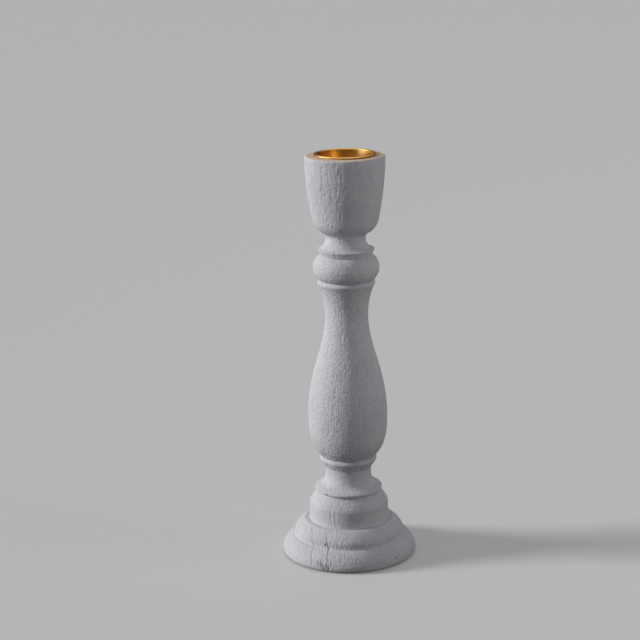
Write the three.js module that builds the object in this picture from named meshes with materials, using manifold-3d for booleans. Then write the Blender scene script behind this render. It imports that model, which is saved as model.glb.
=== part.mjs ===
// A turned wooden candlestick with a drop-in metal candle cup.
// Millimetres, +Z up. The origin is the middle of the felt's underside, where the candlestick stands.
import * as THREE from "three";
import { mergeVertices } from "three/addons/utils/BufferGeometryUtils.js";
import Module from "manifold-3d";

// Overall sizes
const WOOD_HEIGHT = 233.8; // from the wood's underside to its flat rim
const FOOT_RADIUS = 39;
const RIM_RADIUS = 22.7;

// Foot: a bullnose, a narrow upright step and an ovolo
const FOOT_HEIGHT = 20.2;
const FOOT_EDGE_EASE = 1.7;
const BULLNOSE_HEIGHT = 11.6;
const BULLNOSE_PROJECTION = 6.1;
const STEP_SETBACK = 0.7;
const STEP_HEIGHT = 3;
const STEP_SLOPE = 0.6;
const DRUM_SEAT_MARGIN = 2.6;

// Drum with a rounded shoulder, up to the lower groove
const DRUM_RADIUS = 23;
const DRUM_SIDE_HEIGHT = 9.4;
const DRUM_SHOULDER_HEIGHT = 7.8;
const LOWER_GROOVE_RADIUS = 18.2;

// Round collar, and the cove above it
const COLLAR_RADIUS = 19.5;
const COLLAR_UNDERSIDE_HEIGHT = 1.7;
const COLLAR_TOP_HEIGHT = 1.9;
const COLLAR_TOP_RADIUS = 16.9;
const LOWER_COVE_RADIUS = 13.2;
const LOWER_COVE_RISE = 7;
const LOWER_COVE_TOP_RADIUS = 13.4;
const LOWER_COVE_TOP_HEIGHT = 3.9;

// Ring under the vase
const RING_FOOT_RADIUS = 13.7;
const RING_RADIUS = 16.5;
const RING_UNDERSIDE_HEIGHT = 4.7;
const RING_TOP_HEIGHT = 1.7;
const VASE_GROOVE_RADIUS = 15.4;

// Vase: a full belly, a long draw in to the neck, and a flare out to a thin lip
const BELLY_RADIUS = 22.9;
const BELLY_RISE = 23.4;
const NECK_RADIUS = 12.35;
const FLARE_RADIUS = 16.5;
const FLARE_HEIGHT = 18.1;
const FLARE_LIP_HEIGHT = 2.2;
const BEAD_GROOVE_RADIUS = 15.2;

// Bead that closes the top of the stem
const BEAD_RADIUS = 18.9;
const BEAD_BULGE = 6;
const BEAD_HALF_HEIGHT = 7.7;
const BEAD_LOWER_ANGLE = THREE.MathUtils.degToRad(66);
const BEAD_UPPER_ANGLE = THREE.MathUtils.degToRad(73);

// Socket: a sharp collar, a small cove and the tapered cup
const SHARP_COLLAR_FOOT_RADIUS = 15.1;
const SHARP_COLLAR_FOOT_HEIGHT = 0.7;
const SHARP_COLLAR_RADIUS = 16.2;
const SHARP_COLLAR_UNDERSIDE_HEIGHT = 2.4;
const SHARP_COLLAR_EDGE = 0.3;
const UPPER_COVE_RADIUS = 11.35;
const UPPER_COVE_RISE = 6;
const CUP_FOOT_RADIUS = 13;
const CUP_FOOT_HEIGHT = 3.2;
const CUP_SHOULDER_RADIUS = 19.1;
const CUP_SHOULDER_HEIGHT = 9;
const CUP_SIDE_HEIGHT = 33.3;
const RIM_EDGE_EASE = 1.5;

// Tenon of the stem in the foot, and the dowel between the stem and the socket
const TENON_RADIUS = 12;
const TENON_LENGTH = 11.5;
const TENON_CHAMFER = 1;
const DOWEL_RADIUS = 5;
const DOWEL_LENGTH = 32;
const DOWEL_FLUTES = 12;
const DOWEL_FLUTE_DEPTH = 0.4;
const DOWEL_CHAMFER = 0.8;

// Countersunk wood screw, up through the foot into the tenon
const SCREW_LENGTH = 35;
const SCREW_RADIUS = 2.25;
const SCREW_CORE_RADIUS = 1.6;
const SCREW_HEAD_RADIUS = 4.3;
const SCREW_HEAD_HEIGHT = 2.4;
const SCREW_HEAD_EDGE = 0.3;
const SCREW_HEAD_SINK = 0.3;
const SCREW_SHANK_LENGTH = 10;
const SCREW_PITCH = 2.2;
const SCREW_POINT_LENGTH = 3.6;
const DRIVE_WIDTH = 1;
const DRIVE_SPAN = 4.6;
const DRIVE_DEPTH = 1.5;

// Felt disc, let into the underside and standing a little proud of the wood
const FELT_THICKNESS = 2;
const FELT_PROUD = 0.6;
const FELT_MARGIN = 5;

// Metal candle cup: a rolled lip, a drip bowl and the socket for a dinner candle
const CANDLE_RADIUS = 11;
const METAL_THICKNESS = 0.6;
const LIP_RADIUS = 17.4;
const LIP_WIDTH = 1.8;
const LIP_HEIGHT = 1.2;
const LIP_EDGE_EASE = 0.35;
const BOWL_DEPTH = 8;
const BOWL_TAPER = 1;
const THROAT_HEIGHT = 3;
const CANDLE_SOCKET_DEPTH = 16;

// Clearances and gaps between mating pieces
const CANDLE_CLEARANCE = 0.25;
const GLUE_CLEARANCE = 0.15;
const GLUE_END_GAP = 0.6;
const SCREW_CLEARANCE = 0.25;
const CUP_SIDE_CLEARANCE = 0.3;
const CUP_FLOOR_GAP = 0.8;
const FELT_CLEARANCE = 0.3;

// Fineness of the facets
const TURNING_SEGMENTS = 40;
const SCREW_SEGMENTS = 16;
const FLUTE_POINTS = 4;
const CURVE_STEP = 4;
const LEAST_SPANS = 4;

// Heights of the shoulders where the wooden pieces meet
const footTop = FELT_PROUD + FOOT_HEIGHT;
const rimTop = FELT_PROUD + WOOD_HEIGHT;
const sharpCollarHeight = SHARP_COLLAR_FOOT_HEIGHT + SHARP_COLLAR_UNDERSIDE_HEIGHT + SHARP_COLLAR_EDGE;
const cupHeight = CUP_FOOT_HEIGHT + CUP_SHOULDER_HEIGHT + CUP_SIDE_HEIGHT + RIM_EDGE_EASE;
const socketHeight = sharpCollarHeight + UPPER_COVE_RISE + cupHeight;
const stemTop = rimTop - socketHeight;

// Radii and depths that follow from the piece that fits there
const mortiseRadius = TENON_RADIUS + GLUE_CLEARANCE;
const mortiseDepth = TENON_LENGTH + GLUE_END_GAP;
const feltRadius = FOOT_RADIUS - FELT_MARGIN;
const feltRecessRadius = feltRadius + FELT_CLEARANCE;
const feltRecessDepth = FELT_THICKNESS - FELT_PROUD;
const screwHoleRadius = SCREW_RADIUS + SCREW_CLEARANCE;
const screwHeadZ = FELT_THICKNESS + SCREW_HEAD_SINK;
const dowelHoleRadius = DOWEL_RADIUS + GLUE_CLEARANCE;
const dowelHoleDepth = DOWEL_LENGTH / 2 + GLUE_END_GAP;
const candleBoreRadius = CANDLE_RADIUS + CANDLE_CLEARANCE;
const bowlRadius = LIP_RADIUS - LIP_WIDTH;
const bowlFootRadius = bowlRadius - BOWL_TAPER;
const throatDepth = BOWL_DEPTH + THROAT_HEIGHT;
const throatDrop = mitreDrop(METAL_THICKNESS, bowlFootRadius - candleBoreRadius, THROAT_HEIGHT);
const candleCupDepth = throatDepth + CANDLE_SOCKET_DEPTH + METAL_THICKNESS;

const PAINTED_WOOD = { color: 0xd6d3d2, roughness: 0.9, metalness: 0 };
const BARE_WOOD = { color: 0xc9a878, roughness: 0.8, metalness: 0 };
const GILT_METAL = { color: 0xc98a3c, roughness: 0.22, metalness: 1 };
const STEEL = { color: 0xa9abad, roughness: 0.35, metalness: 1 };
const FELT = { color: 0x3a3a3c, roughness: 1, metalness: 0 };

const wasm = await Module();
wasm.setup();

// How much lower a slanted wall's outer corner lies than its inner corner, for a wall of even thickness.
function mitreDrop(thickness, run, rise) {
  return (thickness * (Math.hypot(run, rise) - rise)) / run;
}

// A half outline is a path in (radius, height). This carries it on with a curve up to a new radius.
// Its two handles are given as shares of the curve's own width and height.
function curveUp(path, radius, rise, [leaveAcross, leaveUp], [arriveAcross, arriveUp]) {
  const from = path.currentPoint.clone();
  const across = radius - from.x;
  path.bezierCurveTo(
    from.x + across * leaveAcross,
    from.y + rise * leaveUp,
    from.x + across * arriveAcross,
    from.y + rise * arriveUp,
    radius,
    from.y + rise,
  );
}

// Rounds a corner: sets off towards the corner and arrives turned by a right angle.
function roundCorner(path, [cornerRadius, cornerHeight], [radius, height]) {
  path.quadraticCurveTo(cornerRadius, cornerHeight, radius, height);
}

// A straight stretch needs only its ends, and a curve gets a point about every CURVE_STEP.
function outlinePoints(path) {
  const points = [path.curves[0].getPoint(0)];
  for (const curve of path.curves) {
    const spans = curve.isLineCurve ? 1 : Math.max(LEAST_SPANS, Math.round(curve.getLength() / CURVE_STEP));
    for (let i = 1; i <= spans; i += 1) {
      points.push(curve.getPoint(i / spans));
    }
  }
  return points;
}

// Spins a half outline round the Z axis.
function turned(path, segments = TURNING_SEGMENTS) {
  return new THREE.LatheGeometry(outlinePoints(path), segments).rotateX(Math.PI / 2);
}

function toManifold(geometry) {
  const bare = geometry.clone();
  bare.deleteAttribute("normal");
  bare.deleteAttribute("uv");
  const merged = mergeVertices(bare);
  const vertProperties = merged.attributes.position.array;
  const triVerts = new Uint32Array(merged.index.array);
  return new wasm.Manifold(new wasm.Mesh({ numProp: 3, vertProperties, triVerts }));
}

function toGeometry(solid) {
  const mesh = solid.getMesh();
  const geometry = new THREE.BufferGeometry();
  geometry.setAttribute("position", new THREE.BufferAttribute(mesh.vertProperties, mesh.numProp));
  geometry.setIndex(new THREE.BufferAttribute(mesh.triVerts, 1));
  geometry.computeVertexNormals();
  return geometry;
}

function piece(name, geometry, look, z) {
  const mesh = new THREE.Mesh(geometry, new THREE.MeshStandardMaterial(look));
  mesh.name = name;
  mesh.position.z = z;
  return mesh;
}

// The foot, bored through for the screw, with the tenon's mortise above and the felt's recess below.
// Heights are from the wood's underside.
function makeFoot() {
  const mortiseFloor = FOOT_HEIGHT - mortiseDepth;
  const sinkFloor = feltRecessDepth + SCREW_HEAD_SINK + SCREW_HEAD_HEIGHT;
  const sinkRadius = SCREW_HEAD_RADIUS + SCREW_CLEARANCE;
  const bullnoseRadius = FOOT_RADIUS - BULLNOSE_PROJECTION;
  const stepRadius = bullnoseRadius - STEP_SETBACK - STEP_SLOPE;
  const path = new THREE.Path();
  path.moveTo(mortiseRadius, FOOT_HEIGHT);
  path.lineTo(mortiseRadius, mortiseFloor);
  path.lineTo(screwHoleRadius, mortiseFloor);
  path.lineTo(screwHoleRadius, sinkFloor);
  path.lineTo(sinkRadius, feltRecessDepth + SCREW_HEAD_SINK + SCREW_HEAD_EDGE);
  path.lineTo(sinkRadius, feltRecessDepth);
  path.lineTo(feltRecessRadius, feltRecessDepth);
  path.lineTo(feltRecessRadius, 0);
  path.lineTo(FOOT_RADIUS - FOOT_EDGE_EASE, 0);
  roundCorner(path, [FOOT_RADIUS, 0], [FOOT_RADIUS, FOOT_EDGE_EASE]);
  curveUp(path, bullnoseRadius, BULLNOSE_HEIGHT - FOOT_EDGE_EASE, [0, 0.38], [0.5, 0.78]);
  path.lineTo(bullnoseRadius - STEP_SETBACK, BULLNOSE_HEIGHT);
  path.lineTo(stepRadius, BULLNOSE_HEIGHT + STEP_HEIGHT);
  const ovoloRise = FOOT_HEIGHT - BULLNOSE_HEIGHT - STEP_HEIGHT;
  curveUp(path, DRUM_RADIUS + DRUM_SEAT_MARGIN, ovoloRise, [0.08, 0.34], [0.52, 0.72]);
  path.lineTo(mortiseRadius, FOOT_HEIGHT);
  return piece("foot_turning", turned(path), PAINTED_WOOD, FELT_PROUD);
}

// The drum, the round collar, the cove and the ring, from the shoulder that stands on the foot.
function addLowerMouldings(path) {
  path.lineTo(DRUM_RADIUS, 0);
  path.lineTo(DRUM_RADIUS, DRUM_SIDE_HEIGHT);
  curveUp(path, LOWER_GROOVE_RADIUS, DRUM_SHOULDER_HEIGHT, [0, 0.34], [0.58, 0.6]);
  curveUp(path, COLLAR_RADIUS, COLLAR_UNDERSIDE_HEIGHT, [0.7, 0.1], [1, 0.5]);
  curveUp(path, COLLAR_TOP_RADIUS, COLLAR_TOP_HEIGHT, [0, 0.3], [0.4, 0.62]);
  curveUp(path, LOWER_COVE_RADIUS, LOWER_COVE_RISE, [0.72, 0.16], [0.98, 0.5]);
  curveUp(path, LOWER_COVE_TOP_RADIUS, LOWER_COVE_TOP_HEIGHT, [0, 0.4], [0.5, 0.8]);
  path.lineTo(RING_FOOT_RADIUS, path.currentPoint.y);
  curveUp(path, RING_RADIUS, RING_UNDERSIDE_HEIGHT, [0.3, 0.36], [0.84, 0.66]);
  curveUp(path, VASE_GROOVE_RADIUS, RING_TOP_HEIGHT, [0, 0.5], [0.3, 0.9]);
}

// The vase's long draw takes up whatever height the other members leave.
function addVase(path, drawHeight) {
  curveUp(path, BELLY_RADIUS, BELLY_RISE, [0.48, 0.17], [0.98, 0.3]);
  curveUp(path, NECK_RADIUS, drawHeight, [0, 0.48], [1, 0.66]);
  curveUp(path, FLARE_RADIUS, FLARE_HEIGHT, [0, 0.34], [0.33, 0.72]);
  curveUp(path, BEAD_GROOVE_RADIUS, FLARE_LIP_HEIGHT, [-0.1, 0.5], [0.3, 0.85]);
}

function addBead(path) {
  const centreRadius = BEAD_RADIUS - BEAD_BULGE;
  const centreHeight = path.currentPoint.y + BEAD_HALF_HEIGHT * Math.sin(BEAD_LOWER_ANGLE);
  path.absellipse(
    centreRadius,
    centreHeight,
    BEAD_BULGE,
    BEAD_HALF_HEIGHT,
    -BEAD_LOWER_ANGLE,
    BEAD_UPPER_ANGLE,
    false,
  );
}

// The stem, with its tenon and the screw's pilot hole below and the dowel's hole on top.
// Heights are from the shoulder that stands on the foot.
function makeStem() {
  const height = stemTop - footTop;
  const beadHeight = BEAD_HALF_HEIGHT * (Math.sin(BEAD_LOWER_ANGLE) + Math.sin(BEAD_UPPER_ANGLE));
  const lowerHeight = DRUM_SIDE_HEIGHT + DRUM_SHOULDER_HEIGHT + COLLAR_UNDERSIDE_HEIGHT + COLLAR_TOP_HEIGHT
    + LOWER_COVE_RISE + LOWER_COVE_TOP_HEIGHT + RING_UNDERSIDE_HEIGHT + RING_TOP_HEIGHT;
  const drawHeight = height - lowerHeight - BELLY_RISE - FLARE_HEIGHT - FLARE_LIP_HEIGHT - beadHeight;
  const pilotTop = screwHeadZ + SCREW_LENGTH + GLUE_END_GAP - footTop;
  const path = new THREE.Path();
  path.moveTo(0, pilotTop);
  path.lineTo(screwHoleRadius, pilotTop);
  path.lineTo(screwHoleRadius, -TENON_LENGTH);
  path.lineTo(TENON_RADIUS - TENON_CHAMFER, -TENON_LENGTH);
  path.lineTo(TENON_RADIUS, TENON_CHAMFER - TENON_LENGTH);
  path.lineTo(TENON_RADIUS, 0);
  addLowerMouldings(path);
  addVase(path, drawHeight);
  addBead(path);
  path.lineTo(dowelHoleRadius, height);
  path.lineTo(dowelHoleRadius, height - dowelHoleDepth);
  path.lineTo(0, height - dowelHoleDepth);
  return piece("stem_turning", turned(path), PAINTED_WOOD, footTop);
}

// The bore for the metal cup, drilled in two sizes: a wide one for the bowl and a narrow one for the socket.
function addCandleCupBore(path) {
  const wideRadius = bowlRadius + METAL_THICKNESS + CUP_SIDE_CLEARANCE;
  const wideFloor = socketHeight - throatDepth - throatDrop - CUP_SIDE_CLEARANCE;
  const narrowRadius = candleBoreRadius + METAL_THICKNESS + CUP_SIDE_CLEARANCE;
  const narrowFloor = socketHeight - candleCupDepth - CUP_FLOOR_GAP;
  path.lineTo(wideRadius, socketHeight);
  path.lineTo(wideRadius, wideFloor);
  path.lineTo(narrowRadius, wideFloor);
  path.lineTo(narrowRadius, narrowFloor);
  path.lineTo(0, narrowFloor);
}

// The socket stands on the bead, over the dowel. Heights are from its seat.
function makeSocket() {
  const seatRadius = BEAD_RADIUS - BEAD_BULGE * (1 - Math.cos(BEAD_UPPER_ANGLE));
  const path = new THREE.Path();
  path.moveTo(0, dowelHoleDepth);
  path.lineTo(dowelHoleRadius, dowelHoleDepth);
  path.lineTo(dowelHoleRadius, 0);
  path.lineTo(seatRadius, 0);
  path.lineTo(SHARP_COLLAR_FOOT_RADIUS, SHARP_COLLAR_FOOT_HEIGHT);
  path.lineTo(SHARP_COLLAR_RADIUS, SHARP_COLLAR_FOOT_HEIGHT + SHARP_COLLAR_UNDERSIDE_HEIGHT);
  path.lineTo(SHARP_COLLAR_RADIUS, sharpCollarHeight);
  curveUp(path, UPPER_COVE_RADIUS, UPPER_COVE_RISE, [0.7, 0.16], [0.99, 0.55]);
  curveUp(path, CUP_FOOT_RADIUS, CUP_FOOT_HEIGHT, [0, 0.38], [0.33, 0.81]);
  curveUp(path, CUP_SHOULDER_RADIUS, CUP_SHOULDER_HEIGHT, [0.44, 0.15], [0.87, 0.4]);
  curveUp(path, RIM_RADIUS, CUP_SIDE_HEIGHT, [0.5, 0.285], [0.945, 0.63]);
  roundCorner(path, [RIM_RADIUS, socketHeight], [RIM_RADIUS - RIM_EDGE_EASE, socketHeight]);
  addCandleCupBore(path);
  return piece("socket_turning", turned(path), PAINTED_WOOD, stemTop);
}

// A fluted dowel, half in the stem and half in the socket.
function makeDowel() {
  const points = [];
  const count = DOWEL_FLUTES * FLUTE_POINTS;
  for (let i = 0; i < count; i += 1) {
    const angle = (i / count) * 2 * Math.PI;
    const radius = DOWEL_RADIUS - (DOWEL_FLUTE_DEPTH * (1 - Math.cos(DOWEL_FLUTES * angle))) / 2;
    points.push(new THREE.Vector2(radius * Math.cos(angle), radius * Math.sin(angle)));
  }
  const geometry = new THREE.ExtrudeGeometry(new THREE.Shape(points), {
    depth: DOWEL_LENGTH - 2 * DOWEL_CHAMFER,
    bevelThickness: DOWEL_CHAMFER,
    bevelSize: DOWEL_CHAMFER,
    bevelOffset: -DOWEL_CHAMFER,
    bevelSegments: 1,
  });
  return piece("fluted_dowel", geometry, BARE_WOOD, stemTop - DOWEL_LENGTH / 2 + DOWEL_CHAMFER);
}

// The screw, head down, with a ridge for each turn of its thread. Heights are from the head's flat face.
function makeScrew() {
  const path = new THREE.Path();
  path.moveTo(0, 0);
  path.lineTo(SCREW_HEAD_RADIUS, 0);
  path.lineTo(SCREW_HEAD_RADIUS, SCREW_HEAD_EDGE);
  path.lineTo(SCREW_RADIUS, SCREW_HEAD_HEIGHT);
  const threadStart = SCREW_HEAD_HEIGHT + SCREW_SHANK_LENGTH;
  const threadLength = SCREW_LENGTH - SCREW_POINT_LENGTH - threadStart;
  const turns = Math.floor(threadLength / SCREW_PITCH);
  path.lineTo(SCREW_RADIUS, threadStart);
  for (let i = 0; i < turns; i += 1) {
    const ridge = threadStart + i * SCREW_PITCH;
    path.lineTo(SCREW_CORE_RADIUS, ridge + SCREW_PITCH / 4);
    path.lineTo(SCREW_CORE_RADIUS, ridge + SCREW_PITCH / 2);
    path.lineTo(SCREW_RADIUS, ridge + SCREW_PITCH);
  }
  path.lineTo(SCREW_CORE_RADIUS, SCREW_LENGTH - SCREW_POINT_LENGTH);
  path.lineTo(0, SCREW_LENGTH);
  const blank = toManifold(turned(path, SCREW_SEGMENTS));
  const across = toManifold(new THREE.BoxGeometry(DRIVE_SPAN, DRIVE_WIDTH, 2 * DRIVE_DEPTH));
  const along = toManifold(new THREE.BoxGeometry(DRIVE_WIDTH, DRIVE_SPAN, 2 * DRIVE_DEPTH));
  const screw = blank.subtract(across.add(along));
  return piece("foot_screw", toGeometry(screw), STEEL, screwHeadZ);
}

function makeFelt() {
  const geometry = new THREE.CylinderGeometry(feltRadius, feltRadius, FELT_THICKNESS, TURNING_SEGMENTS);
  return piece("felt_pad", geometry.rotateX(Math.PI / 2), FELT, FELT_THICKNESS / 2);
}

// The metal cup hangs by its lip on the wooden rim. Heights are from that rim, so the bowl goes down.
function makeCandleCup() {
  const socketRadius = candleBoreRadius + METAL_THICKNESS;
  const path = new THREE.Path();
  path.moveTo(0, -candleCupDepth);
  path.lineTo(socketRadius, -candleCupDepth);
  path.lineTo(socketRadius, -throatDepth - throatDrop);
  path.lineTo(bowlFootRadius + METAL_THICKNESS, -BOWL_DEPTH - throatDrop);
  path.lineTo(bowlRadius + METAL_THICKNESS, 0);
  path.lineTo(LIP_RADIUS - LIP_EDGE_EASE, 0);
  path.lineTo(LIP_RADIUS, LIP_EDGE_EASE);
  roundCorner(path, [LIP_RADIUS, LIP_HEIGHT], [LIP_RADIUS - LIP_WIDTH / 2, LIP_HEIGHT]);
  roundCorner(path, [bowlRadius, LIP_HEIGHT], [bowlRadius, LIP_EDGE_EASE]);
  path.lineTo(bowlFootRadius, -BOWL_DEPTH);
  path.lineTo(candleBoreRadius, -throatDepth);
  path.lineTo(candleBoreRadius, METAL_THICKNESS - candleCupDepth);
  path.lineTo(0, METAL_THICKNESS - candleCupDepth);
  return piece("candle_cup", turned(path), GILT_METAL, rimTop);
}

const candlestick = new THREE.Group();
candlestick.add(
  makeFoot(),
  makeStem(),
  makeSocket(),
  makeDowel(),
  makeScrew(),
  makeFelt(),
  makeCandleCup(),
);

export default candlestick;
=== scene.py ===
# %% [markdown]
# # A turned wooden candlestick with a gold candle cup
#
# Three wood turnings, painted with matt chalk paint, stand on each other: a stepped foot, a long stem and a
# tapered socket. A thin metal cup for the candle drops into the top. The shapes and sizes come from a packed
# CAD model, which this script loads and never moves. Each visible piece is then made again with finer
# detail in the same place, takes the place of its CAD node, which is hidden, and is tied to the body it
# moves with.

import math

import bmesh
import bpy
import numpy as np
from mathutils import Matrix, Vector
from mathutils.bvhtree import BVHTree


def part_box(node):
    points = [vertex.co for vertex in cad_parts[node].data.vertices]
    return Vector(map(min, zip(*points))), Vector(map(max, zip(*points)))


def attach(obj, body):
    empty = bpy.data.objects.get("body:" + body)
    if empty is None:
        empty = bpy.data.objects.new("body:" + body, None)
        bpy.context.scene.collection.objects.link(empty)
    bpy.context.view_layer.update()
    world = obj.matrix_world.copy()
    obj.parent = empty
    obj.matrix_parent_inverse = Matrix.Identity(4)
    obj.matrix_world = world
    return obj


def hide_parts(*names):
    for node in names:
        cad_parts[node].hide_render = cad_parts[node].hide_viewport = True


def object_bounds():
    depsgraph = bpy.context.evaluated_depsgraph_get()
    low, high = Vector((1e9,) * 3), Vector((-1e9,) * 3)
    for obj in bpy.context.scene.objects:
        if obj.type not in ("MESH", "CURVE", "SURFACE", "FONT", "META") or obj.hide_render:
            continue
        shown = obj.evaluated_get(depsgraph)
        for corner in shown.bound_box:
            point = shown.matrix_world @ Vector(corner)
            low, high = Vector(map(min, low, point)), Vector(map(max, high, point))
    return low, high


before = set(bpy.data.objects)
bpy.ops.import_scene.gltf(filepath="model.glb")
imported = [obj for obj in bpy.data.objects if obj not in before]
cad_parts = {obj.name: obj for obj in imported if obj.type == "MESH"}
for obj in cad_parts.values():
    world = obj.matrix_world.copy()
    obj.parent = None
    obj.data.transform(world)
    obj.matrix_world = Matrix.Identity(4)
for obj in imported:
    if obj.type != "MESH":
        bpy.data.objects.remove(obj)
scene = bpy.context.scene
cad_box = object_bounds()
MM = 0.001
print("CAD box in mm:", [[round(x / MM, 1) for x in corner] for corner in cad_box])

# %% [markdown]
# ## Camera
#
# A long lens from about a metre away, a little above the rim, looks down on the foot. The lens could be
# set in degrees or in millimetres. Millimetres on a 36 mm sensor is how a photographer would note it. The
# small roll is the tilt of a hand-held camera.

# %% Camera
SENSOR_WIDTH = 36.0
LENS = 93.09
CAMERA_PLACE = Vector((-0.0152, -0.9123, 0.3788))
CAMERA_PITCH = math.radians(14.68)
CAMERA_ROLL = math.radians(-0.93)

camera_data = bpy.data.cameras.new("studio_camera")
camera_data.lens = LENS
camera_data.sensor_width = SENSOR_WIDTH
camera_data.clip_start = 0.05
camera_data.clip_end = 60.0
camera = bpy.data.objects.new("studio_camera", camera_data)
scene.collection.objects.link(camera)
camera.matrix_world = (
    Matrix.Translation(CAMERA_PLACE)
    @ Matrix.Rotation(math.pi / 2 - CAMERA_PITCH, 4, "X")
    @ Matrix.Rotation(CAMERA_ROLL, 4, "Z")
)
scene.camera = camera
scene.view_settings.view_transform = "Standard"
print("camera lens in mm:", LENS)

# %% [markdown]
# ## Floor, sky and lamps
#
# White paint shows its shape only by light and shade, so the main light comes from the far left, low enough
# to rake across the grain. A near lamp would leave the far floor dark, so this one is a sun, made fifteen
# degrees wide so that its shadows are soft. A weak warm lamp on the right keeps that side from going flat,
# and the sky gives the rest. A pale floor would throw light up under every moulding and wash the shadows
# out. A photographer puts black card there. Here the Light Path node does the same: the floor and sky look
# pale to the camera and send less light to the wood. The metal would mirror a lamp as a hard white spot, so
# the lamps are hidden from mirror rays. They see a room instead: a bright ceiling, dark walls, and a large
# soft window where the main light comes from.

# %% The stage's sizes and colours
FLOOR_SIZE = 30.0
KEY_AZIMUTH, KEY_ELEVATION = -89.5, 18.5
FLOOR_SHOWN = (0.72, 0.72, 0.71, 1)
FLOOR_GLOW = 0.15
BOUNCE_NEAR = (0.04, 0.04, 0.04, 1)
BOUNCE_FAR = (0.33, 0.33, 0.33, 1)
NEAR, FAR = 0.08, 0.30  # metres from the candlestick's axis
SKY_SHOWN = (0.62, 0.63, 0.64, 1)
SKY_LEVEL = (0.168, 0.179, 0.198, 1)
SKY_OVERHEAD = (0.25, 0.25, 0.26, 1)
CEILING_IN_METAL = (1.0, 1.02, 1.06, 1)
WALLS_IN_METAL = (0.045, 0.045, 0.05, 1)
WINDOW_IN_METAL = (3.2, 3.25, 3.4, 1)
WINDOW_EDGE, WINDOW_FULL = math.cos(math.radians(34)), math.cos(math.radians(14))
CEILING_FROM, CEILING_TO = 0.25, 0.85  # the upward part of a direction, from level 0 to overhead 1
print("main light from azimuth", KEY_AZIMUTH, "and elevation", KEY_ELEVATION)

# %% Small tools for node trees
MIX_FACTOR, MIX_A, MIX_B, MIX_RESULT = 0, 6, 7, 2  # a colour Mix node's own sockets, by number


def fill(tree, socket, value):
    """Links the socket to value, if that is a socket too, or else sets it to value."""
    if isinstance(value, bpy.types.NodeSocket):
        tree.links.new(value, socket)
    else:
        socket.default_value = value


def fill_in(tree, node, **inputs):
    """Fills in a node's inputs by name."""
    for name, value in inputs.items():
        fill(tree, node.inputs[name.replace("_", " ")], value)


def add(tree, kind, settings=None, **inputs):
    """A new node, with its settings and its inputs filled in by name."""
    node = tree.nodes.new(kind)
    for name, value in (settings or {}).items():
        setattr(node, name, value)
    fill_in(tree, node, **inputs)
    return node


def joined(tree, kind, *values, **settings):
    """A new node with its first inputs filled in. Gives its first output."""
    node = add(tree, kind, settings)
    for socket, value in zip(node.inputs, values):
        fill(tree, socket, value)
    return node.outputs[0]


def even_rise(tree, value, low, high):
    """0 up to low, 1 from high on, and even between them."""
    return add(tree, "ShaderNodeMapRange", Value=value, From_Min=low, From_Max=high).outputs["Result"]


def mix_colours(tree, factor, a, b):
    """Colour a mixed with b by factor. Each is a socket or a plain value."""
    node = add(tree, "ShaderNodeMix", {"data_type": "RGBA"})
    for number, value in ((MIX_FACTOR, factor), (MIX_A, a), (MIX_B, b)):
        fill(tree, node.inputs[number], value)
    return node.outputs[MIX_RESULT]


def empty_tree(owner):
    """The node tree of a new material or sky, emptied."""
    owner.use_nodes = True
    owner.node_tree.nodes.clear()
    return owner.node_tree


# %% Floor
floor_paint = bpy.data.materials.new("pale_floor")
tree = empty_tree(floor_paint)
here = add(tree, "ShaderNodeTexCoord").outputs["Object"]
from_axis = add(tree, "ShaderNodeVectorMath", {"operation": "LENGTH"}, Vector=here).outputs["Value"]
bounce = mix_colours(tree, even_rise(tree, from_axis, NEAR, FAR), BOUNCE_NEAR, BOUNCE_FAR)
bounced = add(tree, "ShaderNodeBsdfDiffuse", Color=bounce).outputs[0]
shown = add(tree, "ShaderNodeBsdfDiffuse", Color=FLOOR_SHOWN).outputs[0]
glow = add(tree, "ShaderNodeEmission", Color=FLOOR_SHOWN, Strength=FLOOR_GLOW).outputs[0]
lifted = joined(tree, "ShaderNodeAddShader", shown, glow)
in_view = add(tree, "ShaderNodeLightPath").outputs["Is Camera Ray"]
add(tree, "ShaderNodeOutputMaterial", Surface=joined(tree, "ShaderNodeMixShader", in_view, bounced, lifted))

flat = bmesh.new()
bmesh.ops.create_grid(flat, x_segments=1, y_segments=1, size=FLOOR_SIZE / 2)
floor_mesh = bpy.data.meshes.new("studio_floor")
flat.to_mesh(floor_mesh)
flat.free()
floor_mesh.materials.append(floor_paint)
floor = bpy.data.objects.new("studio_floor", floor_mesh)
floor.location.z = cad_box[0].z
scene.collection.objects.link(floor)
print("floor at height in mm:", round(floor.location.z / MM, 2))


# %% Sky
def towards(azimuth, elevation):
    """The direction to an azimuth and elevation. Azimuth 0 is in front and 90 on the right."""
    a, e = math.radians(azimuth), math.radians(elevation)
    return Vector((math.sin(a) * math.cos(e), -math.cos(a) * math.cos(e), math.sin(e)))


sky = bpy.data.worlds.new("studio_sky")
scene.world = sky
tree = empty_tree(sky)
path = add(tree, "ShaderNodeLightPath").outputs
direction = add(tree, "ShaderNodeTexCoord").outputs["Generated"]
upward = add(tree, "ShaderNodeSeparateXYZ", Vector=direction).outputs["Z"]
overhead = even_rise(tree, upward, CEILING_FROM, CEILING_TO)
facing = add(tree, "ShaderNodeVectorMath", {"operation": "DOT_PRODUCT"}, Vector=direction)
facing.inputs[1].default_value = towards(KEY_AZIMUTH, KEY_ELEVATION)
window = even_rise(tree, facing.outputs["Value"], WINDOW_EDGE, WINDOW_FULL)
room = mix_colours(tree, overhead, WALLS_IN_METAL, CEILING_IN_METAL)
room = mix_colours(tree, window, room, WINDOW_IN_METAL)
open_sky = mix_colours(tree, overhead, SKY_LEVEL, SKY_OVERHEAD)
lighting = mix_colours(tree, path["Is Glossy Ray"], open_sky, room)
seen = mix_colours(tree, path["Is Camera Ray"], lighting, SKY_SHOWN)
add(tree, "ShaderNodeOutputWorld", Surface=add(tree, "ShaderNodeBackground", Color=seen).outputs[0])
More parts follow.
